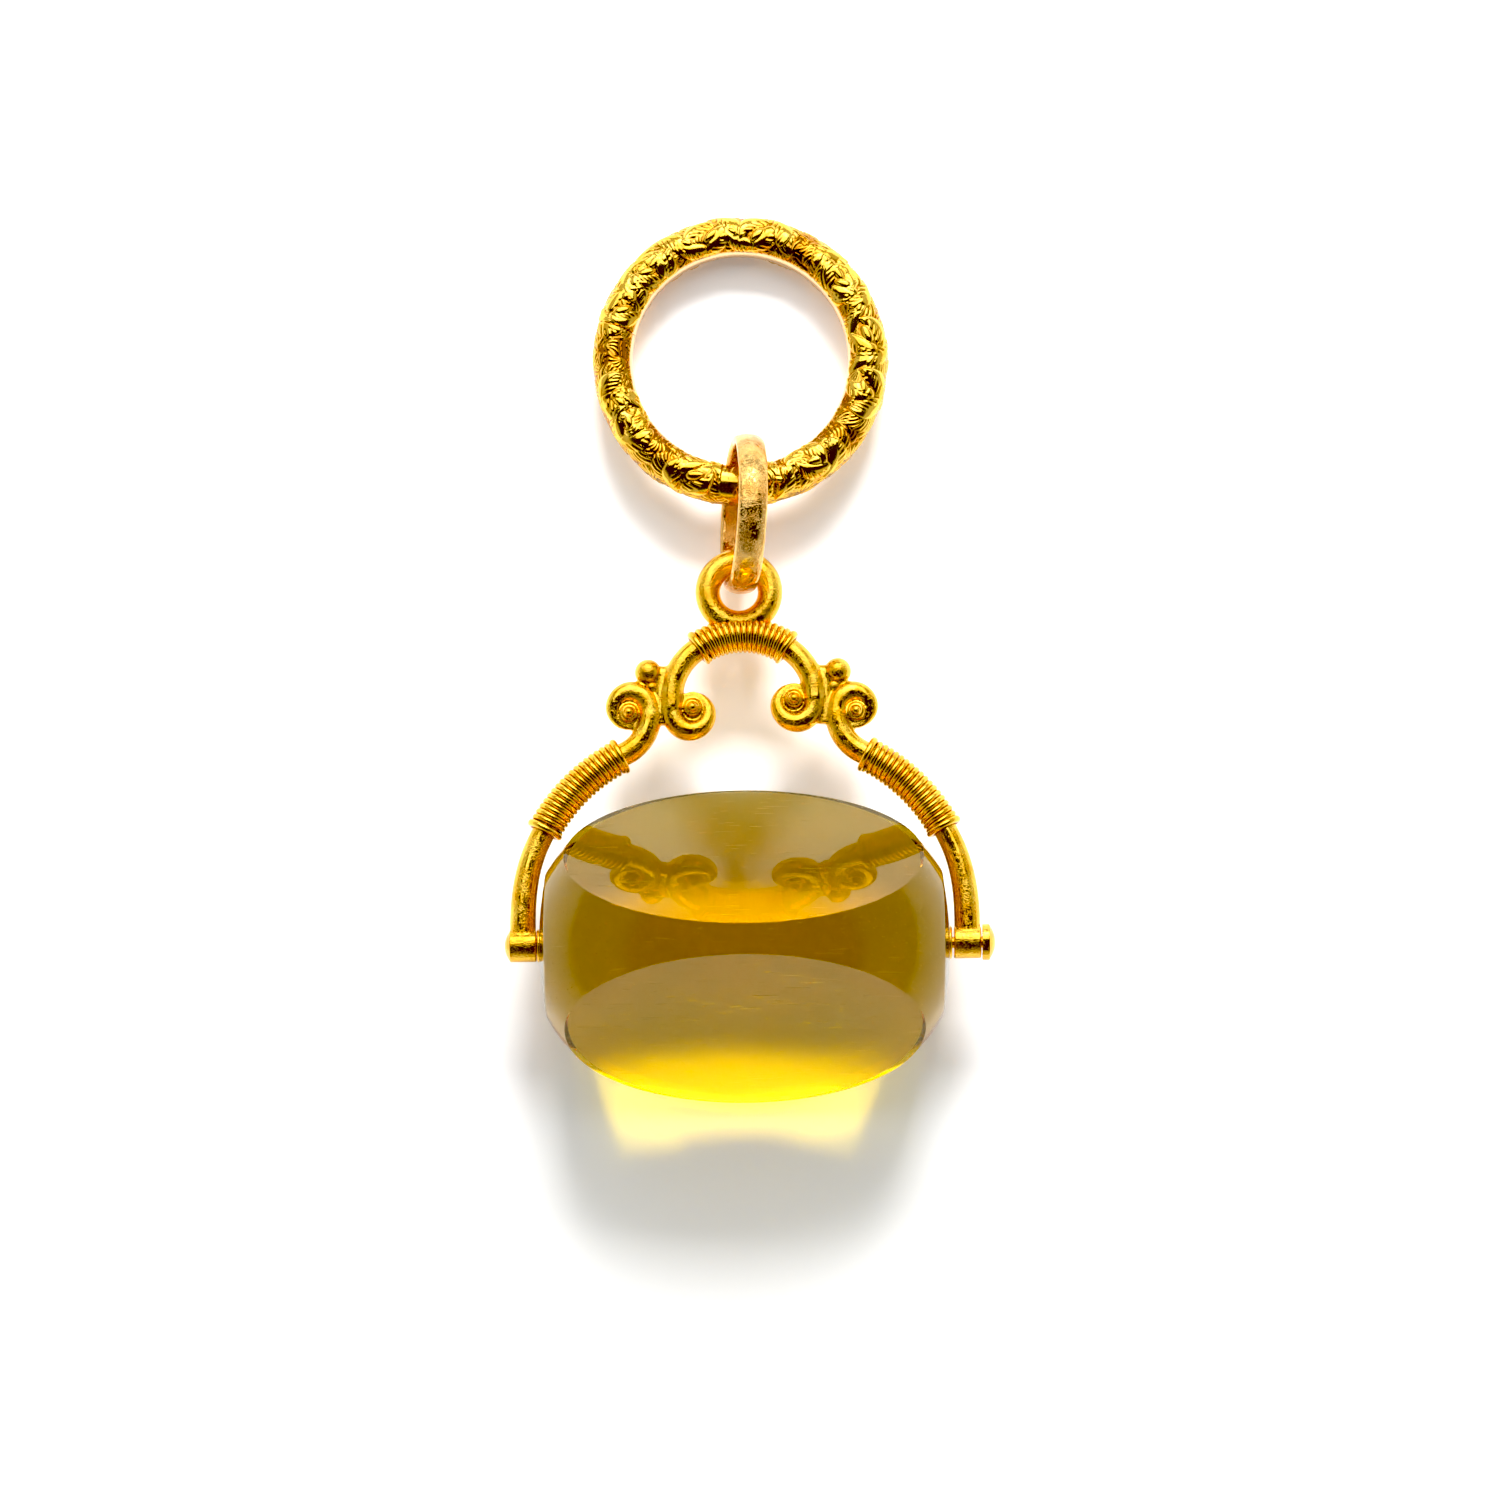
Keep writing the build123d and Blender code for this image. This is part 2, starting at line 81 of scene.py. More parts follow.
BOSS_PLACES = {
    "outer_left": (-6.857, 14.008),
    "outer_right": (6.767, 14.008),
    "inner_left": (-3.039, 14.291),
    "inner_right": (3.039, 14.771),
}
BOSS_RADIUS = 0.57
BOSS_WALL_HEIGHT = 0.34
BOSS_ROUNDING = 0.28
BOSS_GROOVE = (0.60, 0.30)
BOSS_GRAIN_HEIGHT = 0.62
BOSS_GRAIN_RADIUS = 0.29
WIRE_RADIUS = 0.18
WIRE_COLLAR_RADIUS = 0.21
WIRE_PITCH = 0.35
SIDE_WRAP_TOP_DEG = 63.5
SIDE_WRAP_BOTTOM_DEG = 27.5
TOP_WRAP_HALF_DEG = 35.0
STONE_RADIUS = 10.43
STONE_HALF_LENGTH = 13.02
STONE_END_X = 12.27
STONE_END_DOME_RADIUS = 21.8
STONE_END_ROUNDING = 0.9
STONE_FACE_DISTANCE = 5.97
STONE_FACE_ANGLES = (-90, 30, 150)
BUSH_FLANGE_X = STONE_END_X + 0.11
BUSH_SEAT_RADIUS = 1.03
BUSH_SEAT_DEPTH = 0.53
BUSH_HOLE_RADIUS = 0.65
BUSH_HOLE_DEPTH = 1.53
LINK_RADIUS = 4.86
LINK_THICKNESS = 0.72
LINK_WIDTH = 1.76
LINK_CROWN = 0.28
LINK_EDGE_ROUNDING = 0.28
LINK_LEAN_DEG = 7.0
LINK_YAW_DEG = 2.9
RING_RADIUS = 7.70
RING_TUBE_RADIUS = 1.16
RING_TILT_DEG = 6.28
RING_BAND_HALF_WIDTH = 0.55
RING_SEAM_DEG = 165.0
RING_SEAM_SLANT_DEG = 8.0
RING_SEAM_WIDTH = 0.06

# A crisp piece stands this far proud of the cast metal that it covers
SKIN = 0.005

# The cast yoke is rebuilt in cells of this size and softened so many times, which melts its joins
YOKE_CELL = 0.075
YOKE_SOFTENINGS = 6

# The ring's chasing, in millimetres: height of its ground, step up to a leaf's edge, distance
# from one graver cut to the next, and depths of the cuts, the border lines and the seam
CHASE_GROUND = 0.03
LEAF_STEP = 0.03
BLADE_STEP = 0.04
CHASE_PITCH = 0.27
GOUGE_DEPTH = 0.06
BORDER_CUT = 0.035
RING_SEAM_DEPTH = 0.14
# The relief stays low where the link hangs on the ring
LINK_SEAT_HALF_WIDTH = 1.3
LINK_SEAT_RELIEF = 0.10
RING_BAND_RELIEF = 0.02
RING_BAND_MARGIN = 0.12
RING_BAND_FADE = 0.08
RING_POINTS_ACROSS = 110
RING_POINTS_ALONG = 880

# The ground is filled with small fans in staggered rows, and each face has its run of motifs
GROUND_COLUMNS = 40
GROUND_ROWS = 6
MOTIFS = 15
MOTIF_PITCH = TURN * RING_RADIUS / MOTIFS
FACE_MIDDLE = pi / 2 * RING_TUBE_RADIUS

# Strokes of one motif, in the order in which they are laid
MOTIF_FANS = (
    # along, around, reach, heading, size, grows, sweep, curl, height
    (0.35, -0.30, 1.9, -105, 1.60, True, 170, 0.6, 0.06),
    (1.95, 0.20, 1.8, 80, 1.50, True, 160, -0.7, 0.06),
    (1.10, -1.50, 1.5, -85, 1.20, False, 170, 0.6, 0.06),
    (2.70, -1.55, 1.5, -95, 1.20, False, 170, -0.6, 0.06),
    (2.60, 1.40, 1.5, 95, 1.20, False, 170, -0.6, 0.06),
)
MOTIF_BLADES = (
    # along, around, reach, heading, length, grows, width, curl, height
    (0.10, -0.85, 1.9, -55, 2.5, True, 0.58, 0.28, 0.12),
    (0.95, 0.60, 1.9, 48, 2.3, True, 0.55, -0.30, 0.125),
    (1.85, -0.70, 1.8, 38, 2.2, False, 0.52, 0.30, 0.12),
    (2.65, 0.65, 1.8, -50, 2.2, False, 0.50, -0.28, 0.125),
)
MOTIF_PETALS = (
    # along, around, reach, heading, length, width, height
    (1.25, -0.10, 1.0, 25, 1.20, 0.27, 0.15),
    (2.90, -0.15, 1.0, -38, 0.95, 0.23, 0.145),
)
# Three grains on an arc beside the first blade
GRAIN_CENTRE = (0.10, -0.05)
GRAIN_ARC_RADIUS = 0.42
GRAIN_TURNS_DEG = (40, 75, 110)

# Tones of the painted shade in the chased gold's cuts and of its bare inner band, and the stone's
# colour and its strength
CUT_SHADE_TONE = (0.42, 0.27, 0.20)
BARE_BAND_TONE = (0.84, 0.55, 0.30)
UNSHADED = (1.0, 1.0, 1.0)
CITRINE_COLOUR = (0.950, 0.893, 0.05, 1)
CITRINE_DENSITY = 400.0
CITRINE_SHEEN_TINT = (1.0, 0.83, 0.26, 1)
QUARTZ_IOR = 1.55

# The room: daylight from a window, a dome that is bright low down, and a table glowing faintly as
# painted fill light
DAYLIGHT = (1.0, 0.995, 0.98)
TENT_WHITE = (0.99, 0.995, 1.0)
DOME_AXIS = (0, -0.14, 0.99)
DOME_BRIGHT_UP_TO = 0.50
DOME_DARK_FROM = 0.66
DOME_BRIGHT = (0.66, 0.68, 0.70, 1)
DOME_DARK = (0.05, 0.037, 0.028, 1)
TABLE_SIZE_M = 3.0
PAPER_WHITE = (0.93, 0.93, 0.93, 1)
PAPER_ROUGHNESS = 0.9
# The table's glow is painted fill light that lightens the shadows; under the stone it drops to a
# painted shadow
PAPER_GLOW_COLOUR = (0.90, 0.96, 1.0, 1)
PAPER_GLOW_IN_PAINTED_SHADOW = 0.05
PAPER_GLOW = 0.19
# The table is this far under the stone, so that light gets out of its resting face
TABLE_GAP = 0.03

# Photograph: frame of 1500 pixels, 0.06 mm a pixel at the yoke, seen almost from straight above
PHOTO_PX = 1500
PHOTO_MM_PER_PX = 0.06
CAMERA_DISTANCE = 350.0
CAMERA_LEAN_DEG = 3.7
CAMERA_ROLL_DEG = 0.5
CAMERA_AIM = Vector((0.43, 11.68, 4.78))
CAMERA_CLIP_M = 0.01
SENSOR_MM = 36.0
BLACK_LEVEL = (0.020, 0.020, 0.034)
WHITE_LEVEL = (0.97, 0.97, 0.97)

# Yoke's plane: X across, Y up the yoke, Z out of it
PINS = Matrix.Translation((YOKE_CENTRE_X, 0, PIN_HEIGHT))
YOKE_PLACE = PINS @ Matrix.Rotation(-radians(YOKE_DROP_DEG), 4, "X")


def select_only(obj):
    """Leaves one object selected and active."""
    bpy.ops.object.select_all(action="DESELECT")
    obj.select_set(True)
    bpy.context.view_layer.objects.active = obj


def apply_modifiers(obj):
    """Applies every modifier of a piece, in order."""
    select_only(obj)
    for modifier in list(obj.modifiers):
        bpy.ops.object.modifier_apply(modifier=modifier.name)


def settle(obj, place=Matrix.Identity(4)):
    """Puts a piece drawn in millimetres in its place, with its object at the origin."""
    obj.data.transform(Matrix.Scale(MM, 4) @ place @ obj.matrix_world)
    obj.matrix_world = Matrix.Identity(4)
    obj.data.update()


def close_up(obj, distance=1e-5):
    """Merges what lies together and turns every face outwards."""
    select_only(obj)
    bpy.ops.object.mode_set(mode="EDIT")
    bpy.ops.mesh.select_all(action="SELECT")
    bpy.ops.mesh.remove_doubles(threshold=distance)
    bpy.ops.mesh.normals_make_consistent(inside=False)
    bpy.ops.object.mode_set(mode="OBJECT")


def smooth(obj, angle_deg):
    """Shades a piece smooth but for edges sharper than the angle."""
    select_only(obj)
    bpy.ops.object.shade_smooth_by_angle(angle=radians(angle_deg))


def wrap_angle(value, size):
    """Distance on a closed run of the given size, from minus half of it to half of it."""
    return (value + size / 2) % size - size / 2


def outline(name, points):
    """Open outline in X and Y: one vertex of a small plane, drawn out from point to point."""
    bpy.ops.object.select_all(action="DESELECT")
    bpy.ops.mesh.primitive_plane_add(size=1e-3, location=(0, 0, 0))
    obj = bpy.context.active_object
    obj.name = name
    bpy.ops.object.mode_set(mode="EDIT")
    bpy.ops.mesh.select_mode(type="VERT")
    bpy.ops.mesh.select_all(action="SELECT")
    bpy.ops.mesh.merge(type="CENTER")
    bpy.ops.transform.translate(value=(points[0][0], points[0][1], 0))
    for start, end in zip(points, points[1:]):
        step = (end[0] - start[0], end[1] - start[1], 0)
        bpy.ops.mesh.extrude_region_move(TRANSFORM_OT_translate={"value": step})
    bpy.ops.object.mode_set(mode="OBJECT")
    return obj


def spin(obj, steps, axis="Z"):
    """Turns an outline a full circle about an axis and closes its seam."""
    screw = obj.modifiers.new("turn", "SCREW")
    screw.axis = axis
    screw.steps = steps
    screw.render_steps = steps
    screw.use_merge_vertices = True
    screw.merge_threshold = 1e-4
    apply_modifiers(obj)
    close_up(obj)


def turned(name, points, steps):
    """Piece turned on a lathe: an outline in X and Y spun about the X axis."""
    obj = outline(name, points)
    spin(obj, steps, "X")
    return obj


def round_ring(name, radius, wire_radius, across, along):
    """Round wire bent to a closed ring about the Z axis."""
    bpy.ops.object.select_all(action="DESELECT")
    bpy.ops.mesh.primitive_circle_add(vertices=across, radius=wire_radius)
    ring = bpy.context.active_object
    ring.name = name
    upright = Matrix.Rotation(pi / 2, 4, "X")
    ring.data.transform(Matrix.Translation((radius, 0, 0)) @ upright)
    spin(ring, along)
    return ring


def arc_points(centre, radius, start_deg, end_deg, count):
    """Points along an arc, both ends included."""
    spots = []
    for k in range(count + 1):
        angle = radians(start_deg + (end_deg - start_deg) * k / count)
        spots.append((centre[0] + radius * cos(angle), centre[1] + radius * sin(angle)))
    return spots


def mirrored(points):
    """The same points on the other side of X = 0, in reverse order."""
    return [(-x, y) for x, y in reversed(points)]


def node_socket(node, name, value):
    """Sets one constant on a node's own socket."""
    node.inputs[name].default_value = value


class Finish:
    """A node material with a Principled shader, read in Object coordinates in millimetres."""

    def __init__(self, name):
        self.material = bpy.data.materials.new(name)
        self.material.use_nodes = True
        self.nodes = self.material.node_tree.nodes
        self.links = self.material.node_tree.links
        self.shader = self.nodes["Principled BSDF"]
        self.coords = self.nodes.new("ShaderNodeTexCoord").outputs["Object"]

    def add(self, kind, **settings):
        """A new node of a kind, with its settings."""
        node = self.nodes.new(kind)
        for name, value in settings.items():
            setattr(node, name, value)
        return node

    def link(self, start, end):
        """Joins an output to an input."""
        self.links.new(start, end)

    def placed(self, scale=(1, 1, 1), turn_deg=(0, 0, 0)):
        """Object coordinates in millimetres, turned and stretched."""
        mapping = self.add("ShaderNodeMapping")
        node_socket(mapping, "Scale", [s / MM for s in scale])
        node_socket(mapping, "Rotation", [radians(t) for t in turn_deg])
        self.link(self.coords, mapping.inputs["Vector"])
        return mapping.outputs["Vector"]

    def noise(self, vector, scale, detail, roughness, distortion=0.0):
        """Soft noise with so many features to a millimetre."""
        node = self.add("ShaderNodeTexNoise")
        node_socket(node, "Scale", scale)
        node_socket(node, "Detail", detail)
        node_socket(node, "Roughness", roughness)
        node_socket(node, "Distortion", distortion)
        self.link(vector, node.inputs["Vector"])
        return node.outputs["Fac"]

    def ramp(self, factor, stops, smooth_steps=False):
        """Colour or grey read from a factor between stops, each a place and its tone."""
        node = self.add("ShaderNodeValToRGB")
        if smooth_steps:
            node.color_ramp.interpolation = "EASE"
        for element, (place, tone) in zip(node.color_ramp.elements, stops):
            element.position = place
            element.color = (*(tone if isinstance(tone, tuple) else (tone, tone, tone)), 1)
        self.link(factor, node.inputs["Fac"])
        return node.outputs["Color"]

    def attribute(self, name):
        """Value that a piece's mesh carries at each point."""
        return self.add("ShaderNodeAttribute", attribute_name=name).outputs["Fac"]

    def maths(self, operation, first, second=None):
        """Sum worked out on numbers or on other nodes' outputs."""
        node = self.add("ShaderNodeMath", operation=operation)
        for socket, value in zip(node.inputs, (first, second)):
            if isinstance(value, (int, float)):
                socket.default_value = value
            elif value:
                self.link(value, socket)
        return node.outputs["Value"]

    def times(self, first, second):
        """Product of two values."""
        return self.maths("MULTIPLY", first, second)

    def groove(self, turns, amount):
        """Height of a row of gouges: one on the ridges, down to zero in the middle of each cut."""
        wave = self.maths("COSINE", self.times(turns, TURN))
        cut = self.times(self.maths("ADD", wave, 1.0), 0.5)
        return self.maths("SUBTRACT", 1.0, self.times(self.maths("POWER", cut, 1.6), amount))

    def shaded(self, tone, depth, recess_tone):
        """Colour darkened to a recess tone where the depth is zero, as painted shade, and left
        bare from 0.6 up.
        """
        mix = self.add("ShaderNodeMix", data_type="RGBA", blend_type="MULTIPLY")
        node_socket(mix, "Factor", 1.0)
        self.link(tone, mix.inputs["A"])
        self.link(self.ramp(depth, [(0.0, recess_tone), (0.6, UNSHADED)]), mix.inputs["B"])
        return mix.outputs["Result"]

    def blend(self, tone, other, factor):
        """Colour that turns into another where the factor is one."""
        mix = self.add("ShaderNodeMix", data_type="RGBA")
        mix.inputs["B"].default_value = (*other, 1)
        self.link(factor, mix.inputs["Factor"])
        self.link(tone, mix.inputs["A"])
        return mix.outputs["Result"]

    def bump(self, height, strength, depth_mm, normal=None):
        """Relief of the given depth, laid over another relief where one is given."""
        node = self.add("ShaderNodeBump")
        node_socket(node, "Strength", strength)
        node_socket(node, "Distance", depth_mm * MM)
        self.link(height, node.inputs["Height"])
        if normal:
            self.link(normal, node.inputs["Normal"])
        return node.outputs["Normal"]


def gold(name, light, deep, roughness, pitting, waviness, groove_shade_tone=None, chased=False):
    """Worn polished gold: two tones in clouds, clusters of pits, slow waves and hair scratches;
    painted shade in its grooves where asked.
    """
    finish = Finish(name)
    node_socket(finish.shader, "Metallic", 1.0)
    spot = finish.placed()
    clouds = finish.noise(spot, scale=0.8, detail=4.0, roughness=0.6, distortion=0.4)
    tone = finish.ramp(clouds, [(0.36, deep), (0.60, light)])
    grain = finish.noise(spot, scale=7.0, detail=5.0, roughness=0.7)
    rough = finish.ramp(grain, [(0.35, roughness * 0.5), (0.72, roughness * 1.8)])
    finish.link(rough, finish.shader.inputs["Roughness"])
    pits = finish.noise(spot, scale=8.0, detail=3.0, roughness=0.7)
    clusters = finish.noise(spot, scale=1.1, detail=3.0, roughness=0.6)
    pit_mask = finish.ramp(finish.times(pits, clusters), [(0.17, 0.0), (0.26, 1.0)])
    waves = finish.noise(spot, scale=1.0, detail=2.0, roughness=0.5)
    along_hair = finish.placed(scale=(14, 0.8, 3), turn_deg=(20, 10, 35))
    hair = finish.noise(along_hair, scale=1.0, detail=2.0, roughness=0.6)
    normal = finish.bump(waves, strength=waviness, depth_mm=0.10)
    normal = finish.bump(pit_mask, strength=pitting, depth_mm=0.016, normal=normal)
    normal = finish.bump(hair, strength=0.20, depth_mm=0.010, normal=normal)
    # Painted shade: the low parts of the relief darken to the groove tone
    if groove_shade_tone:
        tone = finish.shaded(tone, finish.attribute("relief"), groove_shade_tone)
    # Painted shade in the graver cuts, then the bare inner band's own tone
    if chased:
        gouge = finish.groove(finish.attribute("stroke_turns"), finish.attribute("comb"))
        tone = finish.shaded(tone, gouge, CUT_SHADE_TONE)
        tone = finish.blend(tone, BARE_BAND_TONE, finish.attribute("plain"))
    finish.link(tone, finish.shader.inputs["Base Color"])
    finish.link(normal, finish.shader.inputs["Normal"])
    return finish.material


def clear_citrine():
    """Clear yellow-brown quartz with hair scratches on its polished faces."""
    finish = Finish("citrine")
    node_socket(finish.shader, "Base Color", (1.0, 1.0, 1.0, 1))
    node_socket(finish.shader, "Transmission Weight", 1.0)
    node_socket(finish.shader, "IOR", QUARTZ_IOR)
    node_socket(finish.shader, "Specular Tint", CITRINE_SHEEN_TINT)
    along_lines = finish.placed(scale=(0.30, 7.0, 7.0), turn_deg=(0, 0, 24))
    lines = finish.noise(along_lines, scale=1.3, detail=2.0, roughness=0.6, distortion=0.3)
    lines = finish.ramp(lines, [(0.685, 0.0), (0.71, 1.0)])
    along_rubs = finish.placed(scale=(0.35, 6.0, 6.0), turn_deg=(8, 0, -12))
    rubs = finish.noise(along_rubs, scale=1.2, detail=2.0, roughness=0.6, distortion=0.4)
    rubs = finish.ramp(rubs, [(0.70, 0.0), (0.73, 1.0)])
    normal = finish.bump(lines, strength=0.30, depth_mm=0.010)
    normal = finish.bump(rubs, strength=0.25, depth_mm=0.010, normal=normal)
    finish.link(normal, finish.shader.inputs["Normal"])
    wear = finish.times(finish.maths("MAXIMUM", lines, rubs), 0.45)
    finish.link(wear, finish.shader.inputs["Roughness"])
    body = finish.add("ShaderNodeVolumeAbsorption")
    node_socket(body, "Color", CITRINE_COLOUR)
    node_socket(body, "Density", CITRINE_DENSITY)
    finish.link(body.outputs["Volume"], finish.nodes["Material Output"].inputs["Volume"])
    return finish.material


def dress(obj, material, body, node=None):
    """Gives a piece its material and body, and hides the CAD node that it stands for."""
    obj.data.materials.clear()
    obj.data.materials.append(material)
    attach(obj, body)
    if node:
        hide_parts(node)


def wire_coil(name, wound):
    """Straight coil of round wire along the X axis, its cut ends closed."""
    turns = round(wound / WIRE_PITCH)
    coil_radius = BAR_RADIUS + WIRE_RADIUS
    bpy.ops.object.select_all(action="DESELECT")
    bpy.ops.mesh.primitive_circle_add(
        vertices=10, radius=WIRE_RADIUS, location=(0, coil_radius, 0), rotation=(0, 0, 0)
    )
    coil = bpy.context.active_object
    coil.name = name
    coil.data.transform(Matrix.Translation((-wound / 2, coil_radius, 0)))
    coil.matrix_world = Matrix.Identity(4)
    screw = coil.modifiers.new("wind", "SCREW")
    screw.axis = "X"
    screw.steps = 64
    screw.render_steps = 64
    screw.iterations = turns
    screw.screw_offset = wound / turns
    apply_modifiers(coil)
    select_only(coil)
    bpy.ops.object.mode_set(mode="EDIT")
    bpy.ops.mesh.select_mode(type="EDGE")
    bpy.ops.mesh.select_all(action="DESELECT")
    bpy.ops.mesh.select_non_manifold()
    bpy.ops.mesh.fill()
    bpy.ops.object.mode_set(mode="OBJECT")
    return coil


def wire_collar(place):
    """Thicker ring of wire that ends a winding."""
    bpy.ops.object.select_all(action="DESELECT")
    bpy.ops.mesh.primitive_torus_add(
        major_radius=BAR_RADIUS + WIRE_COLLAR_RADIUS, minor_radius=WIRE_COLLAR_RADIUS,
        major_segments=64, minor_segments=16, location=(place, 0, 0), rotation=(0, pi / 2, 0),
    )
    return bpy.context.active_object


def winding(name, centre, arc_radius, low_deg, high_deg):
    """Wire wound round an arc of the yoke: a straight coil between two collars, then bent."""
    length = arc_radius * radians(high_deg - low_deg)
    coil = wire_coil(name, length - 4 * WIRE_COLLAR_RADIUS)
    collars = [wire_collar(side * (length / 2 - WIRE_COLLAR_RADIUS)) for side in (-1, 1)]
    select_only(coil)
    for collar in collars:
        collar.select_set(True)
    bpy.ops.object.join()
    spots = np.empty(len(coil.data.vertices) * 3)
    coil.data.vertices.foreach_get("co", spots)
    # Painted shade: the wire darkens towards its core, deep in the grooves between its turns
    beyond_core = np.hypot(spots[1::3], spots[2::3]) - (BAR_RADIUS + WIRE_RADIUS)
    painted_shade_height = np.clip((beyond_core - 0.01) / (0.7 * WIRE_RADIUS), 0, 1)
    coil.data.attributes.new("relief", "FLOAT", "POINT").data.foreach_set("value", painted_shade_height)
    ends = coil.bound_box
    span = max(c[0] for c in ends) - min(c[0] for c in ends)
    bend = coil.modifiers.new("bend", "SIMPLE_DEFORM")
    bend.deform_method = "BEND"
    bend.deform_axis = "Z"
    bend.angle = span / arc_radius
    apply_modifiers(coil)
    close_up(coil)
    middle_turn = radians((low_deg + high_deg) / 2 + 90)
    place = YOKE_PLACE @ Matrix.Translation((*centre, 0)) @ Matrix.Rotation(middle_turn, 4, "Z")
    settle(coil, place @ Matrix.Translation((0, -arc_radius, 0)))
    smooth(coil, 60)
    return coil


def barrel_shoulder():
    """Where the shoulder's rounding touches the end dome and the barrel's ellipse.

    Gives the angle on the dome, the rounding's centre and the ellipse's own angle.
    """
    inner_dome = STONE_END_DOME_RADIUS - STONE_END_ROUNDING
    dome_x = STONE_END_X - STONE_END_DOME_RADIUS

    def centre_on_dome(angle):
        return dome_x + inner_dome * cos(angle), inner_dome * sin(angle)

    def gap_to_ellipse(angle):
        x, y = centre_on_dome(angle)
        gap, ellipse_angle = min(
            (sqrt((STONE_HALF_LENGTH * cos(t) - x) ** 2 + (STONE_RADIUS * sin(t) - y) ** 2), t)
            for t in np.linspace(0.05, 1.2, 800)
        )
        return gap - STONE_END_ROUNDING, ellipse_angle

    # The gap closes as the angle grows, so halving its range finds where the two touch
    low, high = 0.0, 0.5
    for _ in range(30):
        middle = (low + high) / 2
        if gap_to_ellipse(middle)[0] > 0:
            low = middle
        else:
            high = middle
    touch = (low + high) / 2
    return touch, centre_on_dome(touch), gap_to_ellipse(touch)[1]


def barrel_outline():
    """The stone's section through its axis, from one bush hole to the other."""
    dome_x = STONE_END_X - STONE_END_DOME_RADIUS
    hole_x = BUSH_FLANGE_X - BUSH_HOLE_DEPTH
    seat_x = BUSH_FLANGE_X - BUSH_SEAT_DEPTH
    rim_x = dome_x + sqrt(STONE_END_DOME_RADIUS**2 - BUSH_SEAT_RADIUS**2)
    half = [
        (hole_x, 0), (hole_x, BUSH_HOLE_RADIUS), (seat_x, BUSH_HOLE_RADIUS),
        (seat_x, BUSH_SEAT_RADIUS), (rim_x, BUSH_SEAT_RADIUS),
    ]
    touch, (x, y), ellipse_angle = barrel_shoulder()
    start = asin(BUSH_SEAT_RADIUS / STONE_END_DOME_RADIUS)
    for k in range(1, 25):
        angle = start + (touch - start) * k / 24
        half.append(
            (dome_x + STONE_END_DOME_RADIUS * cos(angle), STONE_END_DOME_RADIUS * sin(angle))
        )
    end = atan2(
        STONE_RADIUS * sin(ellipse_angle) - y, STONE_HALF_LENGTH * cos(ellipse_angle) - x
    )
    for k in range(1, 10):
        angle = touch + (end - touch) * k / 10
        half.append((x + STONE_END_ROUNDING * cos(angle), y + STONE_END_ROUNDING * sin(angle)))
    for k in range(60):
        angle = ellipse_angle + (pi / 2 - ellipse_angle) * k / 60
        half.append((STONE_HALF_LENGTH * cos(angle), STONE_RADIUS * sin(angle)))
    return half + [(0.0, STONE_RADIUS)] + mirrored(half)


def barrel_stone():
    """Turned barrel with its three faces ground flat."""
    stone = turned("citrine_barrel", barrel_outline(), steps=256)
    stone.data.transform(Matrix.Translation((0, 0, PIN_HEIGHT)))
    select_only(stone)
    bpy.ops.object.mode_set(mode="EDIT")
    for face_deg in STONE_FACE_ANGLES:
        outward = Vector((0, cos(radians(face_deg)), sin(radians(face_deg))))
        bpy.ops.mesh.select_all(action="SELECT")
        bpy.ops.mesh.bisect(
            plane_co=Vector((0, 0, PIN_HEIGHT)) + outward * STONE_FACE_DISTANCE,
            plane_no=outward, use_fill=True, clear_outer=True, threshold=1e-5,
        )
    bpy.ops.object.mode_set(mode="OBJECT")
    settle(stone)
    smooth(stone, 6)
    return stone


def plain_link():
    """Turned band with a softly crowned outside, leaning as it lies."""
    crown = LINK_WIDTH**2 / (8 * LINK_CROWN) + LINK_CROWN / 2
    crown_y = LINK_RADIUS - crown
    inner = LINK_RADIUS - LINK_THICKNESS
    flat_x = LINK_WIDTH / 2 - LINK_EDGE_ROUNDING
    slope = asin(flat_x / (crown - LINK_EDGE_ROUNDING))
    slope_deg = 90 - degrees(slope)
    outer_y = crown_y + (crown - LINK_EDGE_ROUNDING) * cos(slope)
    inner_edge = arc_points(
        (flat_x, inner + LINK_EDGE_ROUNDING), LINK_EDGE_ROUNDING, -90, 0, 8
    )
    outer_edge = arc_points((flat_x, outer_y), LINK_EDGE_ROUNDING, 0, slope_deg, 8)
    points = [(x, inner) for x in np.linspace(-flat_x, flat_x, 5)]
    points += inner_edge[1:] + outer_edge
    points += arc_points((0, crown_y), crown, slope_deg, 180 - slope_deg, 24)[1:-1]
    points += mirrored(outer_edge) + mirrored(inner_edge)[:-1]
    band = turned("plain_link", points + [points[0]], steps=192)
    low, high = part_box("connecting_link")
    centre = (low + high) / 2 / MM
    lean = Matrix.Rotation(radians(LINK_LEAN_DEG), 4, "Y")
    yaw = Matrix.Rotation(-radians(LINK_YAW_DEG), 4, "Z")
    settle(band, Matrix.Translation(centre) @ yaw @ lean)
    smooth(band, 30)
    return band


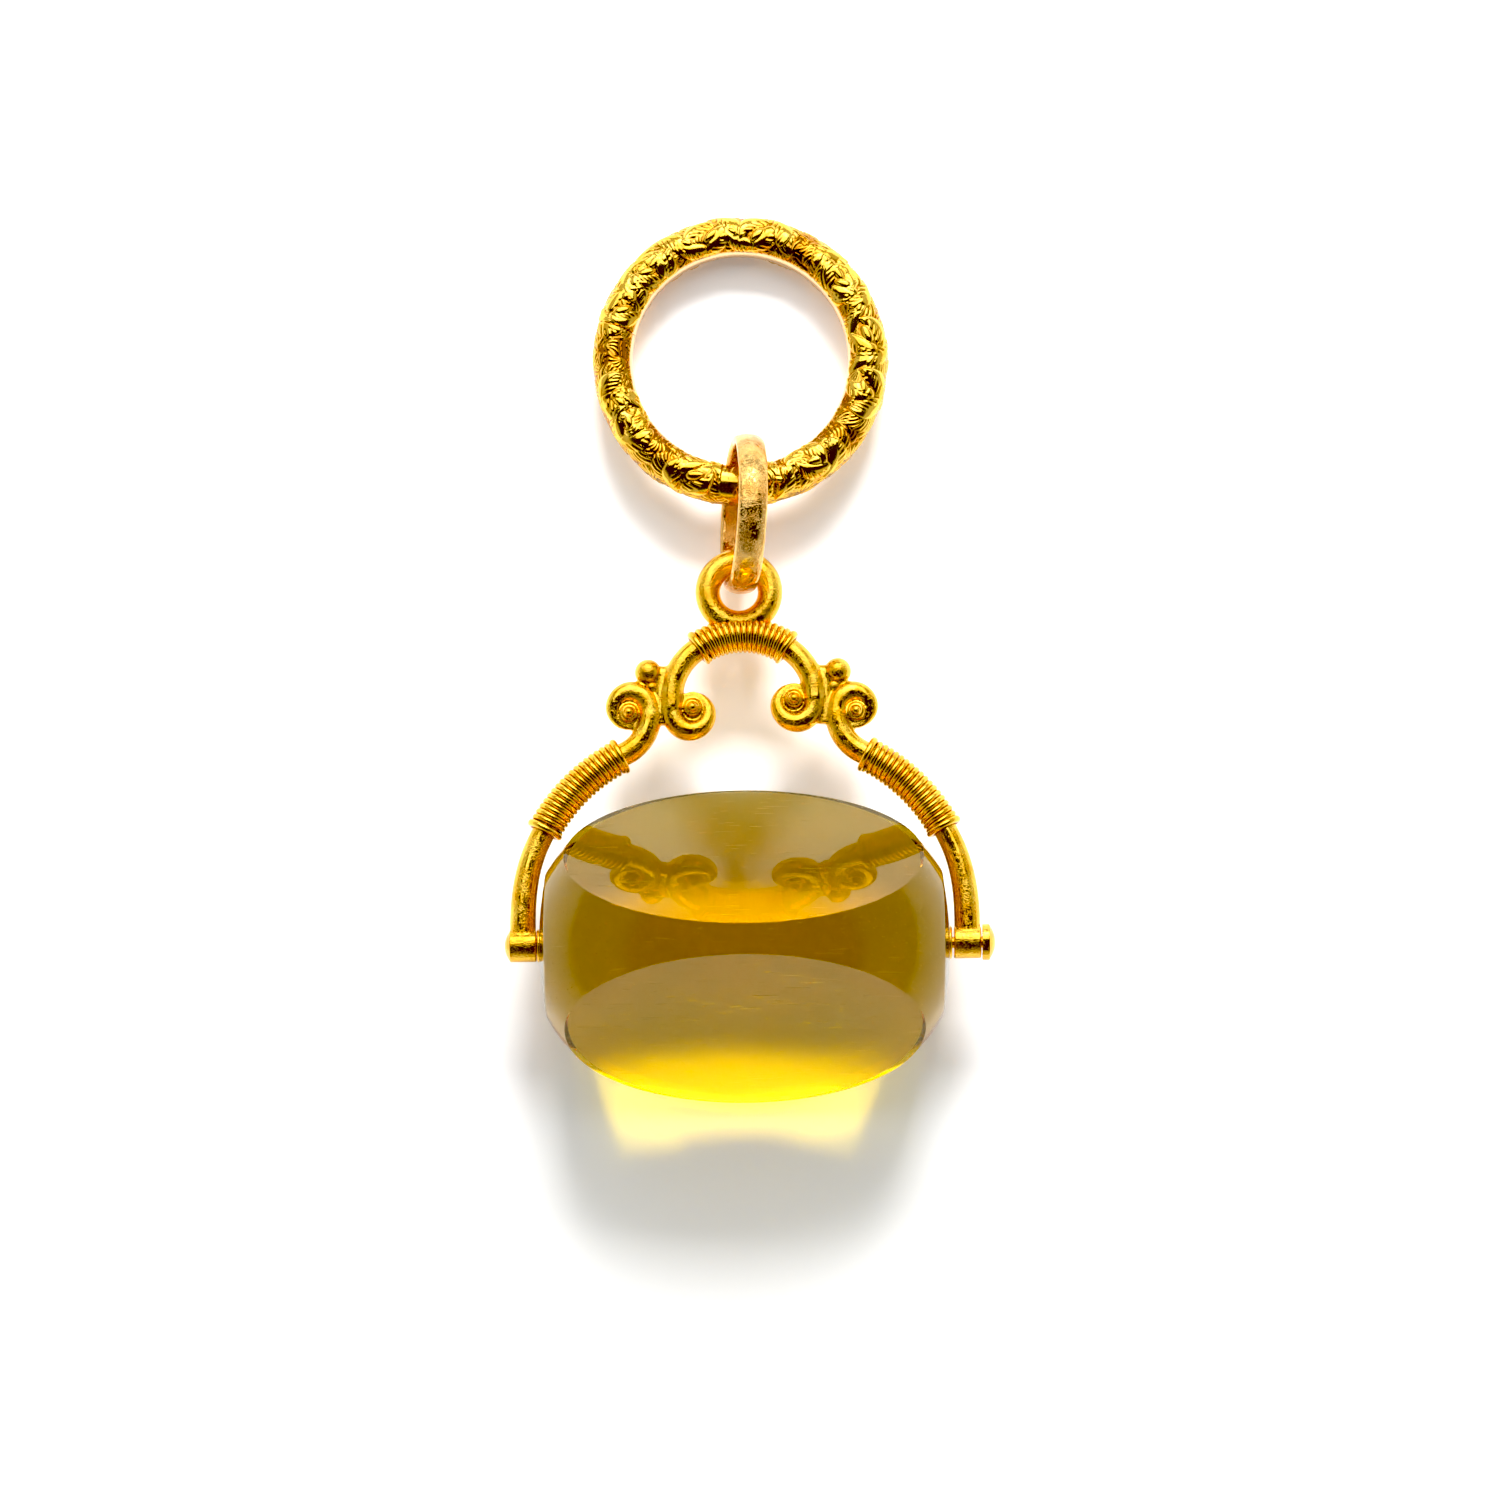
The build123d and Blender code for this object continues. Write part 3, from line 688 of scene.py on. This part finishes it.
class Chasing:
    """Chased work on the unrolled tube: its height and graver cuts at each point.

    The turns count the cuts across a stroke, and the comb says how deep they are there.
    """

    def __init__(self, along, around):
        self.along = along
        self.around = around
        self.height = np.full_like(along, CHASE_GROUND)
        self.turns = np.zeros_like(along)
        self.comb = np.zeros_like(along)
        self.owner = np.zeros(len(along), int)
        self.strokes = 0

    def lay(self, place, reach, stroke, **sizes):
        """Lays one stroke at a place; it shows where it stands higher than what is there."""
        along = wrap_angle(self.along - place[0], TURN * RING_RADIUS)
        around = wrap_angle(self.around - place[1], TURN * RING_TUBE_RADIUS)
        near = np.flatnonzero((np.abs(along) < reach) & (np.abs(around) < reach))
        height, turns, comb = stroke(along[near], around[near], **sizes)
        shows = height > self.height[near]
        chosen = near[shows]
        self.height[chosen] = height[shows]
        self.turns[chosen] = turns[shows]
        self.comb[chosen] = comb[shows]
        self.strokes += 1
        self.owner[chosen] = self.strokes

    def cut_borders(self, edges):
        """Sinks the line where one stroke meets another, and ends the graver cuts there."""
        meets = edges[self.owner[edges[:, 0]] != self.owner[edges[:, 1]]].ravel()
        self.comb[meets] = 0
        self.height[meets] -= BORDER_CUT


def leaf_fan(along, around, heading_deg, size, sweep_deg, curl, height):
    """Fan of an acanthus leaf: cuts that swirl out from its root to a lobed rim."""
    reach = np.hypot(along, around)
    turned_by = np.arctan2(around, along) - radians(heading_deg)
    turned_by = wrap_angle(turned_by + curl * reach, TURN)
    lobes = 1 + 0.10 * np.sin(turned_by * 5.0 + heading_deg)
    out = reach / (size * lobes)
    side = np.abs(turned_by) / (radians(sweep_deg) / 2)
    rise = (0.30 + 0.95 * out) * np.clip(1 - out**5, 0, 1)
    ribs = 1 + 0.35 * np.cos(turned_by * 2.5)
    form = height * rise * np.clip(1 - side**4, 0, 1) * ribs
    inside = (out < 1) & (side < 1)
    turns = turned_by * 0.72 * size / CHASE_PITCH
    comb = np.clip((out - 0.15) / 0.25, 0, 1) * np.clip((1 - side) / 0.12, 0, 1)
    return np.where(inside, CHASE_GROUND + LEAF_STEP + form, -1), turns, comb


def leaf_blade(along, around, heading_deg, length, width, curl, height):
    """Curved pointed leaf: one side combed with slanting cuts, the other a smooth roll."""
    turn = radians(heading_deg)
    s = along * cos(turn) + around * sin(turn)
    t = -along * sin(turn) + around * cos(turn) - curl * s * s
    share = np.clip(2 * s / length, -1, 1)
    half = np.maximum(width * np.sqrt(1 - share**2) * (1 - 0.45 * share), 1e-6)
    reach = t / half
    midrib = 0.03 * np.exp(-((t / 0.05) ** 2))
    form = height * np.clip(1 - reach**2, 0, 1) ** 0.7 - midrib
    inside = (np.abs(share) < 1) & (np.abs(reach) < 1)
    turns = (0.8 * s + 0.7 * np.abs(t)) / CHASE_PITCH
    comb = np.clip((reach - 0.02) / 0.2, 0, 1)
    return np.where(inside, CHASE_GROUND + BLADE_STEP + form, -1), turns, comb


def smooth_petal(along, around, heading_deg, length, width, height):
    """Plump drop without cuts, burnished bright."""
    turn = radians(heading_deg)
    s = (along * cos(turn) + around * sin(turn)) / (length / 2)
    t = (-along * sin(turn) + around * cos(turn)) / (width * (1 - 0.3 * np.clip(s, -1, 1)))
    dome = 1 - s**2 - t**2
    drop = CHASE_GROUND + LEAF_STEP + height * np.sqrt(np.clip(dome, 0, 1))
    form = np.where(dome > 0, drop, -1)
    return form, np.zeros_like(form), np.zeros_like(form)


class Motif:
    """One motif of the chasing: where it starts, which way it runs and how much it grows."""

    def __init__(self, rng, face, number):
        self.rng = rng
        self.face = face
        self.start = MOTIF_PITCH * (number + 0.5 * (face < 0) + 0.08 * rng.normal())
        self.flip = 1 if rng.random() < 0.6 else -1
        self.swirl = self.flip * face
        self.growth = 1 + 0.10 * rng.normal()

    def at(self, along, around):
        """Place on the unrolled tube, a little off, as handwork is."""
        return (
            self.start + self.flip * along + 0.10 * self.rng.normal(),
            self.face * (FACE_MIDDLE + around + 0.08 * self.rng.normal()),
        )

    def aimed(self, deg):
        """Heading on this face, mirrored where the motif runs back, a few degrees off."""
        deg = deg if self.flip > 0 else 180 - deg
        return self.face * (deg + 10 * self.rng.normal())

    def work(self, chasing):
        """Lays the motif's fans, blades, petals and grains."""
        for along, around, reach, heading, size, grows, sweep, curl, height in MOTIF_FANS:
            chasing.lay(
                self.at(along, around), reach, leaf_fan, heading_deg=self.aimed(heading),
                size=size * (self.growth if grows else 1), sweep_deg=sweep,
                curl=curl * self.swirl, height=height,
            )
        for along, around, reach, heading, length, grows, width, curl, height in MOTIF_BLADES:
            chasing.lay(
                self.at(along, around), reach, leaf_blade, heading_deg=self.aimed(heading),
                length=length * (self.growth if grows else 1), width=width,
                curl=curl * self.swirl, height=height,
            )
        for along, around, reach, heading, length, width, height in MOTIF_PETALS:
            chasing.lay(
                self.at(along, around), reach, smooth_petal, heading_deg=self.aimed(heading),
                length=length, width=width, height=height,
            )
        for turn_deg in GRAIN_TURNS_DEG:
            turn = radians(turn_deg)
            place = self.at(
                GRAIN_CENTRE[0] + GRAIN_ARC_RADIUS * cos(turn),
                GRAIN_CENTRE[1] + GRAIN_ARC_RADIUS * sin(turn),
            )
            chasing.lay(
                place, 0.3, smooth_petal, heading_deg=0, length=0.21, width=0.105, height=0.12
            )


def chase_leaves(chasing):
    """The small fans of the ground, then the motifs on both faces of the ring."""
    for column in range(GROUND_COLUMNS):
        for row in range(GROUND_ROWS):
            stagger = 0.5 * (row % 2)
            place = (
                TURN * RING_RADIUS * (column + stagger) / GROUND_COLUMNS,
                TURN * RING_TUBE_RADIUS * row / GROUND_ROWS,
            )
            chasing.lay(
                place, 1.4, leaf_fan, heading_deg=137 * column + 60 * row,
                size=1.05, sweep_deg=175, curl=0.7, height=0.035,
            )
    rng = np.random.default_rng(11)
    for face in (1, -1):
        for number in range(MOTIFS):
            Motif(rng, face, number).work(chasing)


def finished_relief(chasing):
    """The plain band inside the ring, and the height of all the work with the seam across it."""
    inner = wrap_angle(chasing.around - pi * RING_TUBE_RADIUS, TURN * RING_TUBE_RADIUS)
    band_edge = RING_BAND_HALF_WIDTH + RING_BAND_MARGIN - np.abs(inner)
    band = np.clip(band_edge / RING_BAND_FADE, 0, 1)
    relief = chasing.height * (1 - band) + RING_BAND_RELIEF * band
    chasing.comb *= 1 - band
    cuts = (0.5 + 0.5 * np.cos(TURN * chasing.turns)) ** 1.6
    relief = relief - GOUGE_DEPTH * chasing.comb * cuts
    from_link = wrap_angle(chasing.along + RING_RADIUS * pi / 2, TURN * RING_RADIUS)
    linked = np.abs(from_link) < LINK_SEAT_HALF_WIDTH
    relief = np.where(linked, np.minimum(relief, LINK_SEAT_RELIEF), relief)
    seam_at = radians(RING_SEAM_DEG) * RING_RADIUS
    seam = wrap_angle(chasing.along - seam_at, TURN * RING_RADIUS)
    slant = sin(radians(RING_SEAM_SLANT_DEG)) * np.cos(chasing.around / RING_TUBE_RADIUS)
    cut = np.exp(-(((seam + slant) / (0.7 * RING_SEAM_WIDTH)) ** 2))
    return band, relief - RING_SEAM_DEPTH * cut


def chased_ring():
    """Ring tube with its leaf scrolls raised, cut and combed on its surface."""
    ring = round_ring(
        "chased_ring", RING_RADIUS, RING_TUBE_RADIUS,
        across=RING_POINTS_ACROSS, along=RING_POINTS_ALONG,
    )
    mesh = ring.data
    spots = np.empty(len(mesh.vertices) * 3)
    mesh.vertices.foreach_get("co", spots)
    spots = spots.reshape(-1, 3)
    ring_turn = np.arctan2(spots[:, 1], spots[:, 0])
    tube_turn = np.arctan2(spots[:, 2], np.hypot(spots[:, 0], spots[:, 1]) - RING_RADIUS)
    chasing = Chasing(ring_turn * RING_RADIUS, tube_turn * RING_TUBE_RADIUS)
    chase_leaves(chasing)
    ends = np.empty(len(mesh.edges) * 2, int)
    mesh.edges.foreach_get("vertices", ends)
    chasing.cut_borders(ends.reshape(-1, 2))
    plain, relief = finished_relief(chasing)
    outward = np.stack(
        [
            np.cos(ring_turn) * np.cos(tube_turn),
            np.sin(ring_turn) * np.cos(tube_turn),
            np.sin(tube_turn),
        ],
        axis=1,
    )
    spots += outward * relief[:, None]
    mesh.vertices.foreach_set("co", spots.ravel())
    # Painted shade: the low ground between the leaves darkens, and the raised work stays bare
    painted_shade_height = np.clip((relief - CHASE_GROUND) / 0.12, 0, 1)
    for name, values in (
        ("relief", painted_shade_height), ("stroke_turns", chasing.turns), ("comb", chasing.comb), ("plain", plain)
    ):
        mesh.attributes.new(name, "FLOAT", "POINT").data.foreach_set("value", values)
    low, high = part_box("split_ring")
    centre = (low + high) / 2 / MM
    tilt = Matrix.Rotation(-radians(RING_TILT_DEG), 4, "X")
    settle(ring, Matrix.Translation(centre) @ tilt)
    smooth(ring, 80)
    return ring


def cast_yoke():
    """Yoke of the frame, its joins softened as solder and polish leave them."""
    yoke = bpy.data.objects.new("cast_yoke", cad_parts["yoke"].data.copy())
    bpy.context.scene.collection.objects.link(yoke)
    yoke.data.transform(Matrix.Scale(1 / MM, 4))
    close_up(yoke, 1e-4)
    remesh = yoke.modifiers.new("melt", "REMESH")
    remesh.mode = "VOXEL"
    remesh.voxel_size = YOKE_CELL
    soften = yoke.modifiers.new("soften", "SMOOTH")
    soften.factor = 0.5
    soften.iterations = YOKE_SOFTENINGS
    apply_modifiers(yoke)
    settle(yoke)
    smooth(yoke, 60)
    return yoke


def hanging_loop():
    """Round loop soldered on the arch, a trace proud of the cast metal under it."""
    loop = round_ring("hanging_loop", LOOP_RADIUS, LOOP_WIRE_RADIUS, across=72, along=180)
    settle(loop, YOKE_PLACE @ Matrix.Translation((*LOOP_PLACE, 0)))
    smooth(loop, 60)
    return loop


def arch_ball(name, side):
    """Cast ball with a low collar where its neck is soldered to the arch."""
    x, y = BALL_PLACE
    collar = 1.10 * BALL_RADIUS
    points = [(-BALL_RADIUS, 0)] + arc_points((0, 0), BALL_RADIUS, 180, 32, 40)[1:]
    points += [(0.98 * BALL_RADIUS, 0.36), (collar, 0.34), (collar, 0)]
    ball = turned(name, points, steps=72)
    to_arch = Matrix.Rotation(pi if side > 0 else 0, 4, "Z")
    settle(ball, YOKE_PLACE @ Matrix.Translation((side * x, y, 0)) @ to_arch)
    smooth(ball, 40)
    return ball


def solder_bead(name, side):
    """Bead of solder that fills the corner between a ball, its scroll and the arch."""
    x, y = SOLDER_BEAD_PLACE
    bead = turned(name, arc_points((0, 0), SOLDER_BEAD_RADIUS, 180, 0, 20), steps=40)
    settle(bead, YOKE_PLACE @ Matrix.Translation((side * x, y, 0)))
    smooth(bead, 60)
    return bead


def scroll_boss(name, place):
    """Domed boss in the eye of a scroll, with a grain on top, the same on both faces."""
    shoulder = (BOSS_WALL_HEIGHT, BOSS_RADIUS - BOSS_ROUNDING)
    half = [(0.0, BOSS_RADIUS), (BOSS_WALL_HEIGHT, BOSS_RADIUS)]
    half += arc_points(shoulder, BOSS_ROUNDING, 90, 25, 8)[1:]
    half += [BOSS_GROOVE]
    half += arc_points((BOSS_GRAIN_HEIGHT, 0), BOSS_GRAIN_RADIUS, 62, 0, 10)
    boss = turned(name, mirrored(half[1:]) + half, steps=56)
    out_of_plane = Matrix.Rotation(-pi / 2, 4, "Y")
    settle(boss, YOKE_PLACE @ Matrix.Translation((*place, 0)) @ out_of_plane)
    smooth(boss, 50)
    return boss


def knuckle(name, side):
    """Turned barrel at the foot of an arm, its edges broken; the left one has a domed end."""
    inner = YOKE_HALF_GAP - SKIN
    outer = YOKE_HALF_GAP + KNUCKLE_WIDTH + 2 * SKIN
    edge = KNUCKLE_EDGE_ROUNDING
    flat = KNUCKLE_RADIUS - edge
    points = [(inner, 0), (inner, flat)]
    points += arc_points((inner + edge, flat), edge, 180, 90, 6)[1:]
    points += arc_points((outer - edge, flat), edge, 90, 0, 6)
    if side < 0:
        ball = (flat**2 + KNUCKLE_DOME_HEIGHT**2) / (2 * KNUCKLE_DOME_HEIGHT)
        ball_x = outer + KNUCKLE_DOME_HEIGHT - ball
        points += arc_points((ball_x, 0), ball, degrees(asin(flat / ball)), 0, 16)[1:]
    else:
        points.append((outer, 0))
    barrel = turned(name, points, steps=96)
    settle(barrel, PINS @ Matrix.Scale(side, 4, Vector((1, 0, 0))))
    close_up(barrel, 1e-8)
    smooth(barrel, 30)
    return barrel


def screw_head():
    """Head of the swivel screw: a low rim with its edge broken and a domed top."""
    start = YOKE_HALF_GAP + KNUCKLE_WIDTH + SCREW_HEAD_GAP
    rim_x = start + SCREW_HEAD_RIM
    radius = SCREW_HEAD_RADIUS + SKIN
    edge = SCREW_HEAD_EDGE_ROUNDING
    points = [(start - SKIN, 0), (start - SKIN, radius - edge)]
    points += arc_points((start + edge - SKIN, radius - edge), edge, 180, 90, 6)[1:]
    points += arc_points((rim_x, radius - edge), edge, 90, 40, 5)
    ball = (radius**2 + SCREW_HEAD_DOME**2) / (2 * SCREW_HEAD_DOME)
    ball_x = rim_x + SCREW_HEAD_DOME - ball + SKIN
    sweep = degrees(asin((radius - SCREW_HEAD_DOME_INSET) / ball))
    points += arc_points((ball_x, 0), ball, sweep, 0, 18)[1:]
    head = turned("screw_head", points, steps=96)
    settle(head, PINS)
    smooth(head, 30)
    return head


def soft_box(name, place, size, power, colour, aim=(0, 10, 4)):
    """Rectangular area light, in millimetres, turned towards a point."""
    light = bpy.data.lights.new(name, "AREA")
    light.shape = "RECTANGLE"
    light.size = size[0] * MM
    light.size_y = size[1] * MM
    light.energy = power
    light.color = colour
    lamp = bpy.data.objects.new(name, light)
    lamp.location = Vector(place) * MM
    lamp.rotation_euler = (Vector(aim) - Vector(place)).to_track_quat("-Z", "Y").to_euler()
    lamp.visible_camera = False
    bpy.context.scene.collection.objects.link(lamp)
    return lamp


def studio_dome():
    """White dome, dark overhead, where the camera and its stand keep the light out."""
    world = bpy.data.worlds.new("studio")
    bpy.context.scene.world = world
    world.use_nodes = True
    nodes, links = world.node_tree.nodes, world.node_tree.links
    height = nodes.new("ShaderNodeVectorMath")
    height.operation = "DOT_PRODUCT"
    height.inputs[1].default_value = DOME_AXIS
    links.new(nodes.new("ShaderNodeTexCoord").outputs["Generated"], height.inputs[0])
    tone = nodes.new("ShaderNodeValToRGB")
    tone.color_ramp.interpolation = "EASE"
    bright, dark = tone.color_ramp.elements
    bright.position, bright.color = DOME_BRIGHT_UP_TO, DOME_BRIGHT
    dark.position, dark.color = DOME_DARK_FROM, DOME_DARK
    links.new(height.outputs["Value"], tone.inputs["Fac"])
    links.new(tone.outputs["Color"], nodes["Background"].inputs["Color"])
    node_socket(nodes["Background"], "Strength", 1.0)


def white_table():
    """White paper under the fob, which glows faintly as painted fill light, and least under the
    stone as a painted shadow.
    """
    bpy.ops.object.select_all(action="DESELECT")
    bpy.ops.mesh.primitive_plane_add(size=TABLE_SIZE_M, location=(0, 0, -TABLE_GAP * MM))
    table = bpy.context.active_object
    table.name = "white_table"
    paper = Finish("white_paper_painted_glow")
    node_socket(paper.shader, "Base Color", PAPER_WHITE)
    node_socket(paper.shader, "Roughness", PAPER_ROUGHNESS)
    node_socket(paper.shader, "Emission Color", PAPER_GLOW_COLOUR)
    # Painted shadow: the glow drops over an ellipse the size of the stone, under it
    painted_shadow_footprint = paper.placed((1 / STONE_HALF_LENGTH, 1 / STONE_RADIUS, 0))
    distance = paper.add("ShaderNodeVectorMath", operation="LENGTH")
    paper.link(painted_shadow_footprint, distance.inputs[0])
    stops = [(0.85, PAPER_GLOW_IN_PAINTED_SHADOW), (1.0, PAPER_GLOW)]
    glow = paper.ramp(distance.outputs["Value"], stops, smooth_steps=True)
    paper.link(glow, paper.shader.inputs["Emission Strength"])
    table.data.materials.append(paper.material)
    return table


def photo_camera():
    """Camera high over the fob, leaning and rolled as the photograph's."""
    data = bpy.data.cameras.new("camera")
    data.sensor_width = SENSOR_MM
    data.lens = SENSOR_MM * CAMERA_DISTANCE / (PHOTO_PX * PHOTO_MM_PER_PX)
    data.clip_start = CAMERA_CLIP_M
    camera = bpy.data.objects.new("camera", data)
    lean = radians(CAMERA_LEAN_DEG)
    camera.location = (CAMERA_AIM + CAMERA_DISTANCE * Vector((0, -sin(lean), cos(lean)))) * MM
    leant = Matrix.Rotation(lean, 3, "X")
    rolled = Matrix.Rotation(-radians(CAMERA_ROLL_DEG), 3, "Z")
    camera.rotation_euler = (leant @ rolled).to_euler()
    bpy.context.scene.collection.objects.link(camera)
    return camera


yellow_gold = gold(
    "yellow_gold", light=(0.90, 0.535, 0.08), deep=(0.78, 0.375, 0.03),
    roughness=0.11, pitting=0.6, waviness=0.12,
)
rose_gold = gold(
    "rose_gold", light=(0.88, 0.56, 0.20), deep=(0.74, 0.38, 0.10),
    roughness=0.10, pitting=1.0, waviness=0.14,
)
# The chased and bound golds darken their grooves and ground as painted shade
chased_gold = gold(
    "chased_gold", light=(0.92, 0.57, 0.10), deep=(0.80, 0.42, 0.05),
    roughness=0.11, pitting=0.1, waviness=0.04, groove_shade_tone=(0.50, 0.33, 0.22), chased=True,
)
binding_gold = gold(
    "binding_gold", light=(0.92, 0.55, 0.08), deep=(0.82, 0.41, 0.04),
    roughness=0.10, pitting=0.3, waviness=0.06, groove_shade_tone=(0.28, 0.15, 0.10),
)
citrine = clear_citrine()

dress(
    winding(
        "wire_binding_top", (0, ARCH_CROWN_Y), ARCH_CROWN_RADIUS,
        90 - TOP_WRAP_HALF_DEG, 90 + TOP_WRAP_HALF_DEG,
    ),
    binding_gold, "yoke_body", "wire_wrap_top",
)
dress(
    winding(
        "wire_binding_right", (ARM_BEND_X, ARM_BEND_Y), ARM_BEND_RADIUS,
        SIDE_WRAP_BOTTOM_DEG, SIDE_WRAP_TOP_DEG,
    ),
    binding_gold, "yoke_body", "wire_wrap_right",
)
dress(
    winding(
        "wire_binding_left", (-ARM_BEND_X, ARM_BEND_Y), ARM_BEND_RADIUS,
        180 - SIDE_WRAP_TOP_DEG, 180 - SIDE_WRAP_BOTTOM_DEG,
    ),
    binding_gold, "yoke_body", "wire_wrap_left",
)
dress(barrel_stone(), citrine, "stone_body", "swivel_stone")
dress(plain_link(), rose_gold, "yoke_body", "connecting_link")
dress(chased_ring(), chased_gold, "yoke_body", "split_ring")
dress(cast_yoke(), yellow_gold, "yoke_body", "yoke")
for piece in (
    hanging_loop(),
    arch_ball("arch_ball_left", -1), arch_ball("arch_ball_right", 1),
    solder_bead("solder_bead_left", -1), solder_bead("solder_bead_right", 1),
    knuckle("knuckle_left", -1), knuckle("knuckle_right", 1),
    screw_head(),
):
    dress(piece, yellow_gold, "yoke_body")
for name, place in BOSS_PLACES.items():
    dress(scroll_boss(f"scroll_boss_{name}", place), yellow_gold, "yoke_body")
for name in ("stone_collar_left", "stone_collar_right", "swivel_screw"):
    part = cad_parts[name]
    part.data.materials.clear()
    part.data.materials.append(yellow_gold)

# The window lights the fob but gives no mirror image; its dimmer diffuser gives only that
key = soft_box(
    "window_light", place=(50, 625, 482), size=(340, 230), power=10.5, colour=DAYLIGHT
)
key.visible_glossy = False
sheen = soft_box(
    "window_diffuser", place=(50, 605, 470), size=(440, 320), power=1.25, colour=DAYLIGHT
)
sheen.visible_diffuse = False
soft_box(
    "tent_wall", place=(-5, 120, 135), size=(210, 150), power=0.19, colour=TENT_WHITE,
    aim=(0, 26, 8),
)
studio_dome()
white_table()

scene = bpy.context.scene
scene.camera = photo_camera()
scene.view_settings.view_transform = "Standard"
scene.view_settings.use_curve_mapping = True
scene.view_settings.curve_mapping.black_level = BLACK_LEVEL
scene.view_settings.curve_mapping.white_level = WHITE_LEVEL
scene.view_settings.curve_mapping.update()
# Enough bounces for the stone, and little blur, so that its bright spot on the table shows
scene.cycles.max_bounces = 16
scene.cycles.transmission_bounces = 14
scene.cycles.glossy_bounces = 6
scene.cycles.blur_glossy = 0.05
